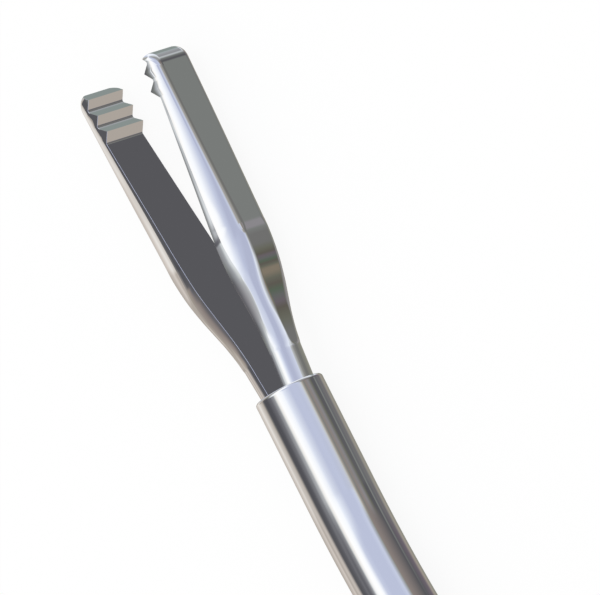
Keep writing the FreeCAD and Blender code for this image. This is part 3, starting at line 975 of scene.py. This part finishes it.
# %% The direction of a ray and its two angles
world = bpy.data.worlds.new("studio")
bpy.context.scene.world = world
world.use_nodes = True
room = world.node_tree
room.nodes.clear()
toward = add_node(room, "ShaderNodeTexCoord").outputs["Generated"]
split = add_node(room, "ShaderNodeSeparateXYZ", {0: toward})
angles = []
for rise, run in (("Z", "Y"), ("Y", "X")):
    angle = add_node(room, "ShaderNodeMath", {0: split.outputs[rise], 1: split.outputs[run]},
                     operation="ARCTAN2")
    turned = add_node(room, "ShaderNodeMapRange", {
        "Value": angle.outputs[0], "From Min": -math.pi, "From Max": math.pi})
    angles.append(turned.outputs[0])
round_axis, round_room = angles
print("angles worked out in", len(room.nodes), "nodes")


# %% Turn each row of strips into a ramp and blend the rows
def paint(ramp, row):
    """Gives a colour ramp a stop for each strip of a row."""
    stops = ramp.color_ramp.elements
    stops[0].color = linear(STUDIO[row[0][1]])
    stops[1].color = linear(STUDIO[row[-1][1]])
    for degrees, tone in row[1:-1]:
        stops.new((degrees + 180) / 360).color = linear(STUDIO[tone])
    return ramp.outputs[0]


# Where each row takes over from the one before it: -1 is straight back, 1 straight to the tips.
OVERHEAD = [(-0.22, -0.09, OVER_FLARE), (-0.09, 0.015, OVER_NECKS), (0.03, 0.08, OVER_JAWS),
            (0.112, 0.127, OVER_TUBE), (0.135, 0.165, OVER_BANDS), (0.36, 0.62, OVER_ENDS)]
over = paint(add_node(room, "ShaderNodeValToRGB", {0: round_axis}), OVER_BACK)
for start, end, row in OVERHEAD:
    share = add_node(room, "ShaderNodeMapRange", {
        "Value": split.outputs["X"], "From Min": start, "From Max": end},
        interpolation_type="SMOOTHSTEP")
    tones = paint(add_node(room, "ShaderNodeValToRGB", {0: round_axis}), row)
    over = add_node(room, "ShaderNodeMix", {"Factor": share.outputs[0], 6: over, 7: tones},
                    data_type="RGBA").outputs[2]
print("rows overhead:", len(OVERHEAD) + 1)

# %% Lay the low ring over the rows
level = add_node(room, "ShaderNodeMath", {0: split.outputs["Z"], 1: -LOW_HEIGHT}, operation="ADD")
off = add_node(room, "ShaderNodeMath", {0: level.outputs[0]}, operation="ABSOLUTE")
ring_share = add_node(room, "ShaderNodeMapRange", {
    "Value": off.outputs[0], "From Min": LOW_FULL, "From Max": LOW_GONE,
    "To Min": 1.0, "To Max": 0.0}, interpolation_type="SMOOTHSTEP")
ring_tones = paint(add_node(room, "ShaderNodeValToRGB", {0: round_room}), LOW_DOWN)
surround = add_node(room, "ShaderNodeMix", {
    "Factor": ring_share.outputs[0], 6: over, 7: ring_tones}, data_type="RGBA").outputs[2]
print("the low ring lies", LOW_HEIGHT, "down, full within", LOW_FULL, "of that")

# %% [markdown]
# ## What is lit and what is mirrored
# The background of the photograph is plain white. The camera and the soft light see a white
# world, and only rays that leave a shiny or clear surface see the room with its strips. The steel
# gives back a little less light than it gets, so the room is made that much brighter, and its
# tones come back on the steel about as they are written.

# %% The two backgrounds
MIRROR_GAIN = 1.13
WHITE = linear("FFFFFF")
rays = add_node(room, "ShaderNodeLightPath").outputs
mirrored = add_node(room, "ShaderNodeBackground", {"Color": surround, "Strength": MIRROR_GAIN})
seen = add_node(room, "ShaderNodeBackground", {"Color": WHITE, "Strength": 1.0})
choice = add_node(room, "ShaderNodeMath", {
    0: rays["Is Glossy Ray"], 1: rays["Is Transmission Ray"]}, operation="MAXIMUM")
mix = add_node(room, "ShaderNodeMixShader", {
    0: choice.outputs[0], 1: seen.outputs[0], 2: mirrored.outputs[0]})
add_node(room, "ShaderNodeOutputWorld", {"Surface": mix.outputs[0]})
print("the studio has", len(room.nodes), "nodes")

# %% [markdown]
# ## The floor
# The instrument lies on a pale table, and the photograph shows next to nothing of its shadow. A
# white matt surface under this soft light would show a darker one. So the table glows evenly,
# almost to white, and a small share of matt surface on top of that takes the shadow, which stays
# faint. The table lies a hair below the lowest point, and the steel mirrors only the studio.

# %% The table and its shadow
# A white laminate top, wiped clean and matt: it has no gloss and next to no colour of its own.
SPAN = 0.5
BELOW = 2e-6
GLOW = 0.9
MATT_SHARE = linear("595959")
floor_mesh = bpy.data.meshes.new("floor")
floor_mesh.from_pydata([(-SPAN, -SPAN, -BELOW), (SPAN, -SPAN, -BELOW), (SPAN, SPAN, -BELOW),
                        (-SPAN, SPAN, -BELOW)], [], [(0, 1, 2, 3)])
floor = bpy.data.objects.new("floor", floor_mesh)
bpy.context.scene.collection.objects.link(floor)
pale = bpy.data.materials.new("pale_floor")
pale.use_nodes = True
tabletop = pale.node_tree
tabletop.nodes.clear()
glow = add_node(tabletop, "ShaderNodeEmission", {"Color": WHITE, "Strength": GLOW})
matt = add_node(tabletop, "ShaderNodeBsdfDiffuse", {"Color": MATT_SHARE})
both = add_node(tabletop, "ShaderNodeAddShader", {0: glow.outputs[0], 1: matt.outputs[0]})
add_node(tabletop, "ShaderNodeOutputMaterial", {"Surface": both.outputs[0]})
floor_mesh.materials.append(pale)
floor.visible_glossy = False
print("floor", 2 * SPAN, "m square,", BELOW, "m below the instrument")

# %% [markdown]
# ## The camera
# Lines that are parallel on the instrument stay parallel in the photograph, so it was taken from
# far off. An orthographic camera would do. A very long lens far away gives the same picture and
# stays a real lens. The direction was fitted to the tube's edges, the mouth and the jaws' corners,
# and is given as the way to the picture's right and the way back to the camera. The field's width
# is in millimetres at the instrument, and 600 pixels of the picture cover it.

# %% The camera at the photograph's angle
VIEW_WIDTH = 5.196
LENS = 1500.0
SENSOR = 36.0
AIM = np.array([0.656, -0.396, -0.223])
right_axis = Vector((-0.4450, -0.6457, -0.6203)).normalized()
back_axis = Vector((-0.128, -0.640, 0.758))
back_axis = (back_axis - right_axis * back_axis.dot(right_axis)).normalized()
up_axis = back_axis.cross(right_axis)
lens = bpy.data.cameras.new("camera")
lens.lens = LENS
lens.sensor_width = SENSOR
lens.sensor_fit = "HORIZONTAL"
lens.clip_start = 0.01
lens.clip_end = 5.0
camera = bpy.data.objects.new("camera", lens)
bpy.context.scene.collection.objects.link(camera)
distance = VIEW_WIDTH * MM * LENS / SENSOR
camera.matrix_world = (Matrix.Translation(Vector((MOUTH + AIM) * MM) + back_axis * distance)
                       @ Matrix((right_axis, up_axis, back_axis)).transposed().to_4x4())
bpy.context.scene.camera = camera
bpy.context.scene.view_settings.view_transform = "Standard"
print("the camera is", round(distance, 4), "m away and sees", VIEW_WIDTH, "mm across")
